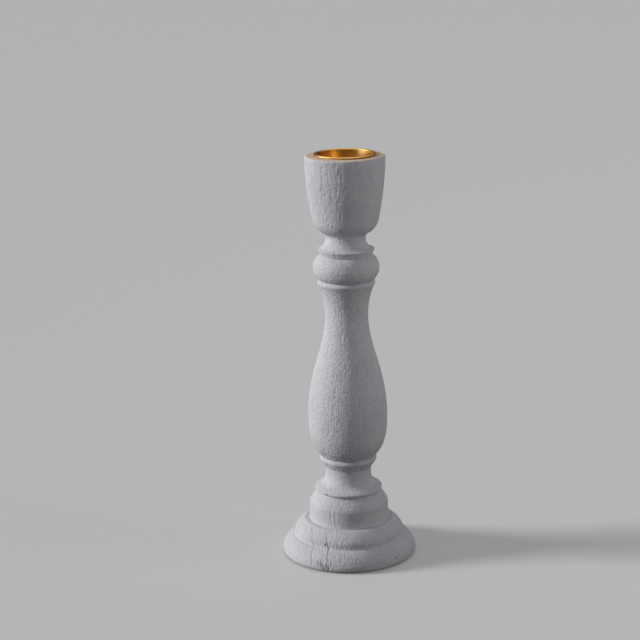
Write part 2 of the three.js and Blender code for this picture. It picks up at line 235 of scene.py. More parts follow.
print("sky:", len(tree.nodes), "nodes")

# %% Lamps
LAMP_TARGET = (cad_box[0] + cad_box[1]) / 2


def lamp(name, azimuth, elevation, distance, size, power, colour, kind):
    """A lamp that looks at LAMP_TARGET. Size is a square's side in metres, or a sun's width in radians."""
    away = towards(azimuth, elevation)
    data = bpy.data.lights.new(name, kind)
    setattr(data, "angle" if kind == "SUN" else "size", size)
    data.energy, data.color = power, colour
    lit = bpy.data.objects.new(name, data)
    lit.location = LAMP_TARGET + away * distance
    lit.rotation_euler = (-away).to_track_quat("-Z", "Y").to_euler()
    lit.visible_glossy = False
    scene.collection.objects.link(lit)


lamp("key_lamp", KEY_AZIMUTH, KEY_ELEVATION, 3.0, math.radians(15), 2.4, (1.0, 0.985, 1.0), "SUN")
lamp("fill_lamp", 78, 12, 2.4, 1.2, 7.5, (1.0, 0.97, 0.95), "AREA")

# %% [markdown]
# ## Drawing a turned outline
#
# A turner works from a template: half the piece's outline, from foot to top. It could be read off the CAD
# node, but that mesh is made of short straight steps, which would show as flats in raking light. So the
# outline is drawn again here stroke by stroke, with the same curves as the CAD and far more points. Sharp
# corners get the tiny round that paint leaves. Each finished outline is measured against its CAD node.

# %% A turner's template
EASE_POINTS = 3
CORNER = math.radians(14)  # strokes that meet at less than this are one smooth line
SHORTEST = 0.01  # mm between points
HIDDEN_STEP = 2.5  # mm between points where nothing shows
ROUGH_SPANS = 24  # to measure a stroke


def bezier(points, t):
    """The point at t of a Bezier curve with any number of control points."""
    while len(points) > 1:
        points = [a.lerp(b, t) for a, b in zip(points, points[1:])]
    return points[0]


def length_of(line):
    return sum((b - a).length for a, b in zip(line, line[1:]))


def shortened(line, cut):
    """A line with a length cut off its far end."""
    line = list(line)
    while len(line) > 2 and (line[-1] - line[-2]).length <= cut:
        cut -= (line[-1] - line[-2]).length
        line.pop()
    back = line[-2] - line[-1]
    line[-1] = line[-1] + back.normalized() * min(cut, back.length * 0.5)
    return line


class Template:
    """Half an outline in mm, drawn stroke by stroke. Each stroke's last number is the step between points."""

    def __init__(self, radius, height):
        self.at = Vector((radius, height))
        self.strokes = []

    def draw(self, controls, step):
        rough = [bezier(controls, i / ROUGH_SPANS) for i in range(ROUGH_SPANS + 1)]
        spans = max(1, math.ceil(length_of(rough) / step))
        self.strokes.append([bezier(controls, i / spans) for i in range(spans + 1)])
        self.at = controls[-1]

    def line(self, radius, height, step=HIDDEN_STEP):
        self.draw([self.at, Vector((radius, height))], step)

    def corner(self, radius, height, to_radius, to_height, step):
        self.draw([self.at, Vector((radius, height)), Vector((to_radius, to_height))], step)

    def curve(self, radius, rise, leave, arrive, step):
        """A curve up to a new radius. Its two handles are shares of its own width and height."""
        size = Vector((radius - self.at.x, rise))
        handles = [self.at + size * Vector(handle) for handle in (leave, arrive)]
        self.draw([self.at, *handles, self.at + size], step)

    def arc(self, centre, bulge, half_height, start, stop, step):
        """Part of an oval round a centre, from one angle to another. Angle 0 is its widest point."""
        spans = math.ceil(half_height * (stop - start) / step)
        angles = [start + (stop - start) * i / spans for i in range(spans + 1)]
        around = [Vector((bulge * math.cos(a), half_height * math.sin(a))) for a in angles]
        self.strokes.append([centre + out for out in around])
        self.at = self.strokes[-1][-1]

    def points(self, ease, loop=False):
        """The whole outline as one line, with each sharp corner rounded over ease mm."""
        strokes = [list(s) for s in self.strokes]
        joins = range(len(strokes)) if loop else range(len(strokes) - 1)
        rounds = {}
        for i in joins:
            j = (i + 1) % len(strokes)
            arriving, leaving = strokes[i][-1] - strokes[i][-2], strokes[j][1] - strokes[j][0]
            if arriving.angle(leaving) > CORNER:
                cut = min(ease, 0.3 * length_of(self.strokes[i]), 0.3 * length_of(self.strokes[j]))
                corner = strokes[i][-1]
                strokes[i] = shortened(strokes[i], cut)
                strokes[j] = shortened(strokes[j][::-1], cut)[::-1]
                rounds[i] = (j, corner)
        line = []
        for i, stroke in enumerate(strokes):
            line += stroke
            if i in rounds:
                j, corner = rounds[i]
                bend = [stroke[-1], corner, strokes[j][0]]
                line += [bezier(bend, k / (EASE_POINTS + 1)) for k in range(1, EASE_POINTS + 1)]
        line = line[:1] + [b for a, b in zip(line, line[1:]) if (b - a).length > SHORTEST]
        return line[:-1] if loop and (line[-1] - line[0]).length <= SHORTEST else line


print("corners over", round(math.degrees(CORNER)), "degrees get eased")

# %% [markdown]
# ## Spinning it
#
# A turned piece could be a Screw modifier on a curve. The bmesh spin operator makes the same shape at once
# and leaves its points in straight columns and rings, which is what the grain and the cracks are pressed
# into next. One spin through hundreds of steps gets slow, so a sixteenth of the turn is spun, and then the
# whole mesh is copied and turned on until it closes. Merging doubles sews the sectors together and shrinks
# the ring at each pole to a point.

# %% Spin a template
WELD = 2e-6  # metres
SECTORS = 16  # a power of two that divides every piece's segments


def spun(name, line, loop, segments):
    """A closed mesh made by spinning an outline, given in mm, round the Z axis."""
    bm = bmesh.new()
    verts = [bm.verts.new((0, -p.x * MM, p.y * MM)) for p in line]
    edges = [bm.edges.new(pair) for pair in zip(verts, verts[1:])]
    if loop:
        edges.append(bm.edges.new((verts[-1], verts[0])))
    sector = 2 * math.pi / SECTORS
    bmesh.ops.spin(
        bm, geom=verts + edges, cent=(0, 0, 0), axis=(0, 0, 1), angle=sector, steps=segments // SECTORS
    )
    sectors = 1
    while sectors < SECTORS:
        copied = bmesh.ops.duplicate(bm, geom=bm.verts[:] + bm.edges[:] + bm.faces[:])["geom"]
        fresh = [v for v in copied if isinstance(v, bmesh.types.BMVert)]
        bmesh.ops.rotate(bm, cent=(0, 0, 0), matrix=Matrix.Rotation(sector * sectors, 3, "Z"), verts=fresh)
        sectors *= 2
    bmesh.ops.remove_doubles(bm, verts=bm.verts, dist=WELD)
    bmesh.ops.recalc_face_normals(bm, faces=bm.faces)
    for face in bm.faces:
        face.smooth = True
    open_edges = sum(not e.is_manifold for e in bm.edges)
    volume = bm.calc_volume(signed=True) / MM**3
    mesh = bpy.data.meshes.new(name)
    bm.to_mesh(mesh)
    bm.free()
    made = bpy.data.objects.new(name, mesh)
    scene.collection.objects.link(made)
    print(
        f"{name}: {len(line)} outline points, {len(mesh.polygons)} faces, "
        f"{open_edges} open edges, {volume:.0f} mm3"
    )
    return made


def measured(line, node):
    """Prints how far an outline strays from its CAD node's surface, at most."""
    bm = bmesh.new()
    bm.from_mesh(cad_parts[node].data)
    tree = BVHTree.FromBMesh(bm)
    bm.free()
    gaps = [tree.find_nearest(Vector((0, -p.x, p.y)) * MM)[3] / MM for p in line]
    worst, usual = max(gaps), sum(gaps) / len(gaps)
    print(f"{node}: the outline is {worst:.2f} mm from the CAD surface at most, {usual:.3f} on average")


def vectors_of(items, field):
    """One vector for each item of a mesh's list, as rows."""
    found = np.empty(len(items) * 3, np.float32)
    items.foreach_get(field, found)
    return found.reshape(-1, 3).astype(float)


def points_of(mesh):
    """A mesh's points in mm, and the surface's normal at each."""
    return vectors_of(mesh.vertices, "co") / MM, vectors_of(mesh.vertex_normals, "vector")


def move_points(mesh, points):
    """Moves a mesh's points to new places in mm."""
    mesh.vertices.foreach_set("co", (points * MM).astype(np.float32).ravel())
    mesh.update()


def write_mask(mesh, name, values):
    """Keeps a number from 0 to 1 at each point, for the materials to read."""
    mask = mesh.attributes.new(name, "FLOAT", "POINT")
    mask.data.foreach_set("value", np.clip(values, 0, 1).astype(np.float32))


print("sectors in a spin:", SECTORS)

# %% [markdown]
# ## Grain that can be felt
#
# Open-grained wood keeps its long hollows and ridges under chalk paint. A bump map alone would vanish at
# the edge of the piece, so the relief that a fingernail would catch on is moved in the mesh itself. The
# pattern is noise stretched along the trunk, cut through by the turned surface just as a lathe cuts through
# a real board. Finer scratches are left to the material.

# %% Noise in space
LATTICE = 256
rng = np.random.default_rng(581)
SHUFFLE = rng.permutation(LATTICE)
ARROWS = rng.normal(size=(LATTICE, 3))
ARROWS /= np.linalg.norm(ARROWS, axis=1)[:, None]


def noise(points):
    """Smooth noise from about -1 to 1 at each point, one bump to a unit of length."""
    cell = np.floor(points).astype(int)
    inside = points - cell
    fade = inside**3 * (inside * (inside * 6 - 15) + 10)
    total = np.zeros(len(points))
    for corner in np.ndindex(2, 2, 2):
        at = cell + corner
        pick = SHUFFLE[(SHUFFLE[(SHUFFLE[at[:, 0] % LATTICE] + at[:, 1]) % LATTICE] + at[:, 2]) % LATTICE]
        share = np.prod(np.where(corner, fade, 1 - fade), axis=1)
        total += share * (ARROWS[pick] * (inside - corner)).sum(axis=1)
    return total * 1.5


def smooth_step(low, high, x):
    """0 below low, 1 above high, and a smooth rise between them."""
    t = np.clip((x - low) / (high - low), 0, 1)
    return t * t * (3 - 2 * t)


along_a_line = np.linspace(0, 90, 4000)[:, None] * (0.9, 0.7, 0.5)
print(f"noise runs from {noise(along_a_line).min():.2f} to {noise(along_a_line).max():.2f}")

# %% Grain relief
RIDGE_HEIGHT, FINE_HEIGHT, PORE_DEPTH, PAINT_SWELL = 0.070, 0.075, 0.27, 0.05  # mm
SWAY_SCALE = (0.045, 0.045, 0.016)  # bumps to a mm on X, Y and Z, and so on down to the patches
RIDGE_SCALE = (0.62, 0.62, 0.055)
FINE_SCALE = (1.15, 1.15, 0.17)
PORE_SCALE = (1.0, 1.0, 0.10)
SWELL_SCALE = (0.12, 0.12, 0.09)
PATCH_SCALE = 0.035
SWAY_REACH = (1.4, 1.1, 0)  # how far the grain wanders, in bumps
PORE_LEVEL = 0.36  # a pore opens where its noise is over this
SMOOTH_SHARE = 0.50  # of the grain, left where the brush filled it best
FULL_HOLLOW = 0.22  # mm down, where the painted shade and dirt of the hollows are darkest


def grain_relief(p):
    """The wood's relief in mm, at points in mm. It is mostly negative, so that nothing grows. The plain
    numbers added to the points keep the layers apart."""
    sway = noise(p * SWAY_SCALE)[:, None] * SWAY_REACH
    ridges = noise(p * RIDGE_SCALE + sway)
    fine = noise(p * FINE_SCALE + sway * 1.7 + 31.7)
    pores = np.clip(noise(p * PORE_SCALE + sway * 1.3 + 11.3) - PORE_LEVEL, 0, None)
    swell = noise(p * SWELL_SCALE + 71.3)
    patch = smooth_step(-0.35, 0.35, noise(p * PATCH_SCALE + 5.1))
    grain = RIDGE_HEIGHT * (ridges - 0.6) + FINE_HEIGHT * (fine - 0.6) - PORE_DEPTH * pores
    return (SMOOTH_SHARE + (1 - SMOOTH_SHARE) * patch) * grain + PAINT_SWELL * (swell - 0.5)


relief = grain_relief(along_a_line)
print(f"relief on a test line: {relief.min():.2f} to {relief.max():.2f} mm")

# %% [markdown]
# ## Cracks, nicks and pits
#
# Dry wood splits along the grain, and a painted piece gets knocked in use. Each mark is a short path on the
# surface, given by how far round and how high it runs. Cutting them as solids with a Boolean would leave a
# tangle of thin faces. Pressing the nearby points inwards keeps the mesh clean, and the same distance is
# kept as a mask so that the material can darken the bottom of the crack. That darkness is painted shade in
# the narrow gap, together with dirt.

# %% Press marks into the wood
MARK_STEPS = 40
MARK_REACH = 2.0  # mm round a mark in which points can move
FLAT_BOTTOM = 0.3  # of its half width goes to the full depth
END_TAPER = 0.35  # 0 for blunt ends, 1 for long ones
THINNEST = 0.05  # of its width, at the very ends
LEAN = 0.9  # degrees at most, for a strewn mark
ALL_ROUND = (-180, 180)


def mark_path(line, mark):
    """A mark's path in mm, hugging the outline. Its points are (degrees round from the front, height)."""
    heights, radii = np.array(sorted(((p.y, p.x) for p in line), key=lambda q: q[0])).T
    turns, levels = np.array(mark, float).T
    at = np.linspace(0, 1, MARK_STEPS) * (len(mark) - 1)
    turn = np.radians(np.interp(at, range(len(mark)), turns))
    level = np.interp(at, range(len(mark)), levels)
    radius = np.interp(level, heights, radii)
    return np.stack([radius * np.sin(turn), -radius * np.cos(turn), level], axis=1)


def press_marks(p, line, marks):
    """How deep the marks go at each point in mm, and how dark they are from 0 to 1. A mark is its half
    width, depth, darkness and path."""
    depth, dark = np.zeros(len(p)), np.zeros(len(p))
    for half_width, deep, darkness, mark in marks:
        way = mark_path(line, mark)
        inside = (p > way.min(0) - MARK_REACH) & (p < way.max(0) + MARK_REACH)
        near = np.flatnonzero(inside.all(axis=1))
        if not len(near):
            continue
        gaps = np.linalg.norm(p[near, None] - way[None], axis=2)
        taper = np.sin(np.pi * (gaps.argmin(axis=1) + 0.5) / MARK_STEPS) ** END_TAPER
        away = gaps.min(axis=1) / np.maximum(taper, THINNEST)
        press = 1 - smooth_step(FLAT_BOTTOM * half_width, half_width, away)
        depth[near] = np.maximum(depth[near], deep * press)
        dark[near] = np.maximum(dark[near], darkness * press)
    return depth, dark


def strewn(*patches):
    """Short marks along the grain. A patch of them is how many, the least and most degrees round, height
    and length, and the largest half width, depth and darkness."""
    found = []
    for count, turns, heights, lengths, half_width, deep, darkness in patches:
        for _ in range(count):
            turn, level = rng.uniform(*turns), rng.uniform(*heights)
            long, lean = rng.uniform(*lengths), rng.uniform(-LEAN, LEAN)
            size = rng.uniform(0.6, 1.0)
            path = [(turn, level), (turn + lean, level + long)]
            found.append((half_width * size, deep * size, darkness * size, path))
    return found


print("points on a mark's path:", MARK_STEPS)

# %% [markdown]
# ## The painted foot
#
# A fat rounded edge, a small step, and an egg-shaped moulding that rises to the stem. Underneath are a
# shallow recess for the felt, the screw's countersink and, on top, the mortise for the stem's tenon. It
# could be made without them, since they don't show, but then the wood would not be the piece that the CAD
# says. Two long cracks run down its left front, with a cluster of short splits at the lower edge. The step
# is a millimetre lower than in the CAD and a little softer, as layers of paint leave it.

# %% Wooden pieces: how one is finished
def finished_wood(name, node, template, ease, segments, seen, painted, marks, loop=False):
    """Spins a wooden piece, presses its grain and marks in, and puts it in its CAD node's place."""
    line = template.points(ease, loop)
    measured(line, node)
    made = spun(name, line, loop, segments)
    mesh = made.data
    p, normals = points_of(mesh)
    radius, height = np.hypot(p[:, 0], p[:, 1]), p[:, 2]
    shows = seen(radius, height)
    relief = grain_relief(p) * shows
    outside = [q for q in line if seen(q.x, q.y) > 0.5]
    deep, dark = press_marks(p, outside, marks)
    move_points(mesh, p + normals * (relief - deep * shows)[:, None])
    # The crack mask darkens the paint: painted shade in each mark's gap, together with dirt.
    write_mask(mesh, "crack", dark * shows)
    write_mask(mesh, "painted", painted(radius, height))
    # The hollow mask greys the paint in the relief's hollows: dirt, and painted shade.
    write_mask(mesh, "hollow", -relief / FULL_HOLLOW)
    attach(made, "candlestick")
    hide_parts(node)
    print(f"{name}: relief from {relief.min():.2f} to {relief.max():.2f} mm, {len(marks)} marks")
    return made


# %% The foot
FOOT_SEGMENTS = 576
SEEN_STEP = 0.45
foot_low, foot_high = (corner.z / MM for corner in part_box("foot_turning"))
foot_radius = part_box("foot_turning")[1].x / MM
felt_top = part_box("felt_pad")[1].z / MM
mortise_radius, mortise_floor = 12.15, foot_high - 12.1
RECESS_RADIUS, UNDERSIDE_TOP = 34.3, felt_top + 0.2
STEM_RADIUS = 23.0  # where the stem stands on the foot
LEDGE, RISER_TOP = foot_low + 10.6, foot_low + 14.0  # the small step

foot = Template(mortise_radius, mortise_floor)
foot.line(2.5, mortise_floor)
foot.line(2.5, 4.7)
foot.line(4.55, 2.6)
foot.line(4.55, felt_top)
foot.line(RECESS_RADIUS, felt_top)
foot.line(RECESS_RADIUS, foot_low, 0.7)
foot.line(foot_radius - 1.7, foot_low, 0.6)
foot.corner(foot_radius, foot_low, foot_radius, foot_low + 1.7, 0.3)
foot.curve(33.0, LEDGE - foot.at.y, (0, 0.40), (0.5, 0.80), SEEN_STEP)
foot.corner(31.85, LEDGE + 0.05, 31.65, LEDGE + 1.4, 0.35)
foot.line(31.5, RISER_TOP, SEEN_STEP)
foot.curve(25.6, foot_high - RISER_TOP, (0.08, 0.34), (0.52, 0.72), SEEN_STEP)
foot.line(23.4, foot_high, 0.5)
foot.line(mortise_radius, foot_high)
foot.line(mortise_radius, mortise_floor)


def foot_seen(radius, height):
    """1 on the wood that shows and 0 in the recesses and under the stem."""
    past_stem = smooth_step(STEM_RADIUS - 0.1, STEM_RADIUS + 0.9, radius)
    on_top = np.where(height > foot_high - 0.05, past_stem, 1.0)
    past_recess = smooth_step(RECESS_RADIUS - 0.1, RECESS_RADIUS + 0.6, radius)
    below = np.where(height < UNDERSIDE_TOP, past_recess, 1.0)
    return np.where(radius < STEM_RADIUS - 0.2, 0.0, on_top * below)


def foot_painted(radius, height):
    """1 outside, and 0 in the mortise and in the recess for the felt."""
    in_recess = (radius < RECESS_RADIUS + 0.1) & (height < UNDERSIDE_TOP)
    return np.where((radius < STEM_RADIUS - 1) | in_recess, 0.0, 1.0)


LEFT_CRACK = [(-46.2, 16.6), (-44.6, 15.4), (-41.5, 12.6), (-38.4, 9), (-35.6, 5.6), (-34.2, 2.4)]
MAIN_CRACK = [(-31, 20.6), (-27, 17.4), (-24.4, 14.4), (-22.6, 11.4), (-20.6, 8), (-18.5, 3.2)]
MAIN_CRACK += [(-18.2, 1)]
LONG_CRACKS = [(0.48, 0.36, 0.62, LEFT_CRACK), (0.48, 0.46, 0.72, MAIN_CRACK)]
# Small pressed dents, darkened like the cracks with painted shade and dirt.
DARK_DENTS = [
    (0.6, 0.3, 0.5, [(-30.4, 15.4), (-29.4, 14.6)]),
    (0.75, 0.4, 0.75, [(-27.5, 14.2), (-26.3, 13.3)]),
    (0.5, 0.25, 0.5, [(-24.3, 13.6), (-23.4, 12.9)]),
    (0.5, 0.22, 0.4, [(-32.6, 16.2), (-31.9, 15.4)]),
    (0.7, 0.45, 0.8, [(42.7, 5.6), (43.4, 4.9)]),
    (0.8, 0.45, 0.6, [(-53, foot_high - 1.2), (-50, foot_high - 2)]),
    (0.6, 0.3, 0.5, [(-48, foot_high - 2.6), (-46, foot_high - 3.2)]),
    (0.6, 0.25, 0.45, [(-56, foot_high - 2.8), (-54.4, foot_high - 3.4)]),
]
EDGE_SPLITS = [
    (0.43, 0.42, 0.8, [(-29.2, 6.6), (-27.6, 3.2)]),
    (0.43, 0.42, 0.85, [(-27, 6.8), (-25.4, 2.4)]),
    (0.43, 0.4, 0.8, [(-25.2, 6), (-23.8, 1.6)]),
    (0.43, 0.4, 0.8, [(-23.4, 5.2), (-22.6, 1.2)]),
    (0.43, 0.4, 0.75, [(-21.6, 6.6), (-20.5, 2.6)]),
    (0.42, 0.36, 0.8, [(-19.8, 4.4), (-19.2, 1)]),
    (0.4, 0.28, 0.5, [(-16.9, 7.6), (-16.5, 3.4)]),
    (0.4, 0.28, 0.5, [(-15.1, 5), (-14.8, 1.4)]),
]
foot_marks = LONG_CRACKS + DARK_DENTS + EDGE_SPLITS + strewn(
    (60, ALL_ROUND, (2, 22), (0.4, 1.2), 0.5, 0.18, 0.28),
    (70, ALL_ROUND, (2, 9), (1.5, 4.5), 0.4, 0.13, 0.12),
    (60, ALL_ROUND, (15, 18), (1.2, 2.8), 0.4, 0.12, 0.12),
)
foot_piece = finished_wood(
    "painted_foot", "foot_turning", foot, 0.35, FOOT_SEGMENTS, foot_seen, foot_painted, foot_marks, True
)

# %% [markdown]
# ## The painted stem
#
# One long turning with all the named mouldings of a baluster: a drum with a round shoulder, a collar, a
# cove, a ring, the vase, a flare and a bead. The vase's long draw is what the eye follows, so its curve is
# one stroke from belly to neck. Below is the tenon that goes into the foot, above is the hole for the dowel.

# %% The stem
STEM_SEGMENTS = 240
VASE_STEP = 0.78
stem_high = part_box("stem_turning")[1].z / MM
BEAD_BULGE, BEAD_HALF_HEIGHT = 6.0, 7.7
BEAD_START, BEAD_STOP = math.radians(-66), math.radians(73)
bead_middle = stem_high - BEAD_HALF_HEIGHT * math.sin(BEAD_STOP)
bead_low = bead_middle + BEAD_HALF_HEIGHT * math.sin(BEAD_START)
TENON_RADIUS, TENON_LOW = 12, foot_high - 11.5
SCREW_HOLE, SCREW_HOLE_TOP = 2.5, 37.9
DOWEL_HOLE, DOWEL_HOLE_DEPTH = 5.15, 16.6  # the socket has the same hole
INSIDE_STEM = 11.0  # nothing nearer the axis shows

stem = Template(0, SCREW_HOLE_TOP)
stem.line(SCREW_HOLE, SCREW_HOLE_TOP)
stem.line(SCREW_HOLE, TENON_LOW)
stem.line(TENON_RADIUS - 1, TENON_LOW)
stem.line(TENON_RADIUS, TENON_LOW + 1)
stem.line(TENON_RADIUS, foot_high)
stem.line(STEM_RADIUS, foot_high)
stem.line(STEM_RADIUS, foot_high + 9.4, 0.55)
stem.curve(18.2, 7.8, (0, 0.34), (0.58, 0.6), 0.5)
stem.curve(19.5, 1.7, (0.7, 0.1), (1, 0.5), 0.35)
stem.curve(16.9, 1.9, (0, 0.3), (0.4, 0.62), 0.4)
stem.curve(13.2, 7, (0.72, 0.16), (0.98, 0.5), 0.5)
stem.curve(13.4, 3.9, (0, 0.4), (0.5, 0.8), 0.5)
stem.line(13.7, stem.at.y, 0.3)
stem.curve(16.5, 4.7, (0.3, 0.36), (0.84, 0.66), 0.45)
stem.curve(15.4, 1.7, (0, 0.5), (0.3, 0.9), 0.35)
stem.curve(22.9, 23.4, (0.48, 0.17), (0.98, 0.3), VASE_STEP)
stem.curve(12.35, bead_low - 2.2 - 18.1 - stem.at.y, (0, 0.48), (1, 0.66), VASE_STEP)
stem.curve(16.5, 18.1, (0, 0.34), (0.33, 0.72), VASE_STEP)
stem.curve(15.2, 2.2, (-0.1, 0.5), (0.3, 0.85), 0.35)
stem.arc(Vector((12.9, bead_middle)), BEAD_BULGE, BEAD_HALF_HEIGHT, BEAD_START, BEAD_STOP, 0.5)
stem.line(DOWEL_HOLE, stem_high)
stem.line(DOWEL_HOLE, stem_high - DOWEL_HOLE_DEPTH)
stem.line(0, stem_high - DOWEL_HOLE_DEPTH)


def stem_seen(radius, height):
    """1 on the wood that shows, and 0 on the tenon, in the bores and where the pieces meet."""
    above_foot = smooth_step(foot_high + 0.1, foot_high + 0.9, height)
    below_socket = 1 - smooth_step(stem_high - 0.7, stem_high - 0.1, height)
    return np.where(radius > INSIDE_STEM, above_foot * below_socket, 0.0)


def stem_painted(radius, height):
    """1 outside, and 0 on the tenon and in the bores."""
    return np.where((radius < INSIDE_STEM) | (height < foot_high - 0.05), 0.0, 1.0)


stem_marks = [
    (0.42, 0.3, 0.55, [(-52, 61.6), (-47, 64.6), (-41, 67.4), (-35, 69.8)]),
    (0.4, 0.24, 0.4, [(-46, 61.8), (-42, 64), (-38, 66.6)]),
    (0.4, 0.2, 0.3, [(-56, 63.2), (-52, 65.4), (-48, 67.2)]),
    (0.55, 0.4, 0.9, [(-52.8, 56.6), (-51.6, 54.8)]),
    (0.55, 0.4, 0.9, [(-42.2, 39.9), (-40.6, 38.5)]),
    (0.75, 0.45, 0.7, [(-21.6, 103.4), (-20.2, 102)]),
    (0.7, 0.4, 0.6, [(-20.6, 100.4), (-19.4, 99)]),
    (0.7, 0.35, 0.5, [(-49.6, 121.8), (-48.6, 120.4)]),
    (0.7, 0.35, 0.5, [(-14.2, 87), (-13.2, 85.4)]),
    (0.6, 0.22, 0.25, [(-28.6, 33), (-27.8, 28), (-27.2, 23.5)]),
    (0.6, 0.2, 0.25, [(-21.6, 31.5), (-21.2, 27), (-20.8, 22.5)]),
    (0.7, 0.35, 0.55, [(-51, 172.4), (-50, 171.4)]),
    (0.7, 0.35, 0.5, [(24, 164.8), (24.8, 164)]),
    (0.6, 0.3, 0.45, [(-25.6, 178.6), (-25, 177.8)]),
    (0.5, 0.09, 0.16, [(-6, 170.6), (-8, 168.4)]),
    (0.5, 0.08, 0.14, [(-13, 172.4), (-14.2, 170.6)]),
]
stem_marks += strewn(
    (110, ALL_ROUND, (112, 178), (0.4, 1.4), 0.62, 0.2, 0.3),
    (60, ALL_ROUND, (22, 112), (0.4, 1.4), 0.62, 0.18, 0.24),
    (46, (-46, -2), (62, 112), (3, 10), 0.5, 0.09, 0.09),
    (20, (-50, -4), (112, 156), (3, 8), 0.48, 0.11, 0.08),
    (120, (0, 310), (62, 156), (3, 9), 0.5, 0.11, 0.08),
    (50, ALL_ROUND, (22, 54), (1, 4), 0.45, 0.11, 0.1),
    (30, ALL_ROUND, (165, 175), (1, 3), 0.45, 0.1, 0.08),
)
stem_piece = finished_wood(
    "painted_stem", "stem_turning", stem, 0.3, STEM_SEGMENTS, stem_seen, stem_painted, stem_marks
)

# %% [markdown]
# ## The painted socket
#
# A sharp collar, a narrow cove and a cup with tapered sides and a flat rim. The brush left long hollows
# open on its left front. The rim is where hands and candles rub the paint thin, and its warm colour is that
# thin paint together with a painted reflection of the gold lip. Its bore is drilled in two sizes and stays
# bare wood, which shows when the metal cup is lifted out.

# %% The socket
SOCKET_SEGMENTS = 352
rim_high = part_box("socket_turning")[1].z / MM
BORE_RADIUS, BORE_FLOOR = 16.5, rim_high - 11.57
DEEP_BORE_RADIUS, DEEP_BORE_FLOOR = 12.15, rim_high - 28.4
BORE_STEP = 1.2
LIP_COVERS = 16.6  # mm of radius on the rim
INSIDE_SOCKET = 10.6  # nothing nearer the axis shows

socket = Template(0, stem_high + DOWEL_HOLE_DEPTH)
socket.line(DOWEL_HOLE, stem_high + DOWEL_HOLE_DEPTH)
socket.line(DOWEL_HOLE, stem_high)
socket.line(18.9 - BEAD_BULGE * (1 - math.cos(BEAD_STOP)), stem_high)
socket.line(15.1, stem_high + 0.7, 0.3)
socket.line(16.2, stem_high + 3.1, 0.4)
socket.line(16.2, stem_high + 3.4, 0.15)
socket.curve(11.35, 6, (0.7, 0.16), (0.99, 0.55), 0.45)
socket.curve(13, 3.2, (0, 0.38), (0.33, 0.81), 0.45)
socket.curve(19.1, 9, (0.44, 0.15), (0.87, 0.4), 0.45)
socket.curve(22.7, 33.3, (0.5, 0.285), (0.945, 0.63), 0.5)
socket.corner(22.7, rim_high, 21.2, rim_high, 0.25)
socket.line(BORE_RADIUS, rim_high, 0.4)
socket.line(BORE_RADIUS, BORE_FLOOR, BORE_STEP)
socket.line(DEEP_BORE_RADIUS, BORE_FLOOR, BORE_STEP)
socket.line(DEEP_BORE_RADIUS, DEEP_BORE_FLOOR, BORE_STEP)
socket.line(0, DEEP_BORE_FLOOR, BORE_STEP)


def in_bore(radius, height):
    """True in the two bores for the metal cup and in the dowel's hole."""
    in_cup_bores = (height > DEEP_BORE_FLOOR - 0.6) & (radius < BORE_RADIUS + 0.02)
    return in_cup_bores | (radius < INSIDE_SOCKET)


def socket_seen(radius, height):
    """1 on the wood that shows, and 0 in the bores, under the metal lip and on the seat."""
    past_lip = smooth_step(LIP_COVERS, LIP_COVERS + 0.7, radius)
    on_rim = np.where(height > rim_high - 0.05, past_lip, 1.0)
    above_seat = smooth_step(stem_high + 0.1, stem_high + 0.7, height)
    return np.where(in_bore(radius, height), 0.0, on_rim * above_seat)


def socket_painted(radius, height):
    """1 outside and on the rim, and 0 in the bores."""
    return np.where(in_bore(radius, height), 0.0, 1.0)


socket_marks = [
    (0.5, 0.34, 0.35, [(-36.4, 221.2), (-37.6, 219), (-39.6, 216.4)]),
    (0.45, 0.2, 0.2, [(-9, 229.6), (-10, 225.8)]),
    (0.45, 0.2, 0.2, [(-5.2, 227.6), (-6, 224.8)]),
    (0.38, 0.25, 0.45, [(-26.6, 182.2), (-25, 181), (-24.4, 179.6)]),
]
socket_marks += strewn(
    (60, ALL_ROUND, (186, 231), (0.4, 1.4), 0.5, 0.16, 0.26),
    (80, (-38, 2), (205, 228), (1.5, 6.5), 0.44, 0.12, 0.08),
    (16, (-36, 10), (229, 232), (1, 2), 0.42, 0.13, 0.1),
    (110, (2, 322), (204, 230), (1.5, 6), 0.44, 0.12, 0.08),
    (24, ALL_ROUND, (186, 200), (1, 3), 0.42, 0.1, 0.08),
)
socket_piece = finished_wood(
    "painted_socket", "socket_turning", socket, 0.3, SOCKET_SEGMENTS, socket_seen, socket_painted,
    socket_marks,
)

# %% [markdown]
# ## The gold candle cup
#
# A thin pressed metal cup with a rolled lip, a shallow bowl for wax and a narrow socket for the candle. It
# is one sheet, so its inside and outside lines run side by side, 0.6 mm apart. Pressed metal has no sharp
# corners: every bend gets a generous round, and the lip is a smooth roll that catches the lamp.

# %% The metal cup
CUP_SEGMENTS = 256
cup_low, lip_high = (corner.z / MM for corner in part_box("candle_cup"))
METAL = 0.6  # thick
CUP_RADIUS, LIP_RADIUS = 11.85, 17.4

cup = Template(0, cup_low)
cup.line(CUP_RADIUS, cup_low, 1.2)
cup.line(CUP_RADIUS, rim_high - 11.27, 1.2)
cup.line(15.2, rim_high - 8.27, 0.6)
cup.line(16.2, rim_high, 0.8)
cup.line(17.05, rim_high, 0.3)
cup.line(LIP_RADIUS, rim_high + 0.35, 0.15)
cup.corner(LIP_RADIUS, lip_high, 16.5, lip_high, 0.12)
cup.corner(15.6, lip_high, 15.6, rim_high + 0.35, 0.12)
cup.line(14.6, rim_high - 8, 0.5)
cup.line(CUP_RADIUS - METAL, rim_high - 11, 0.5)
cup.line(CUP_RADIUS - METAL, cup_low + METAL, 1.0)
cup.line(0, cup_low + METAL, 1.0)

cup_line = cup.points(1.1)
measured(cup_line, "candle_cup")
cup_piece = spun("gold_candle_cup", cup_line, False, CUP_SEGMENTS)
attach(cup_piece, "lift_out_cup")
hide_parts("candle_cup")
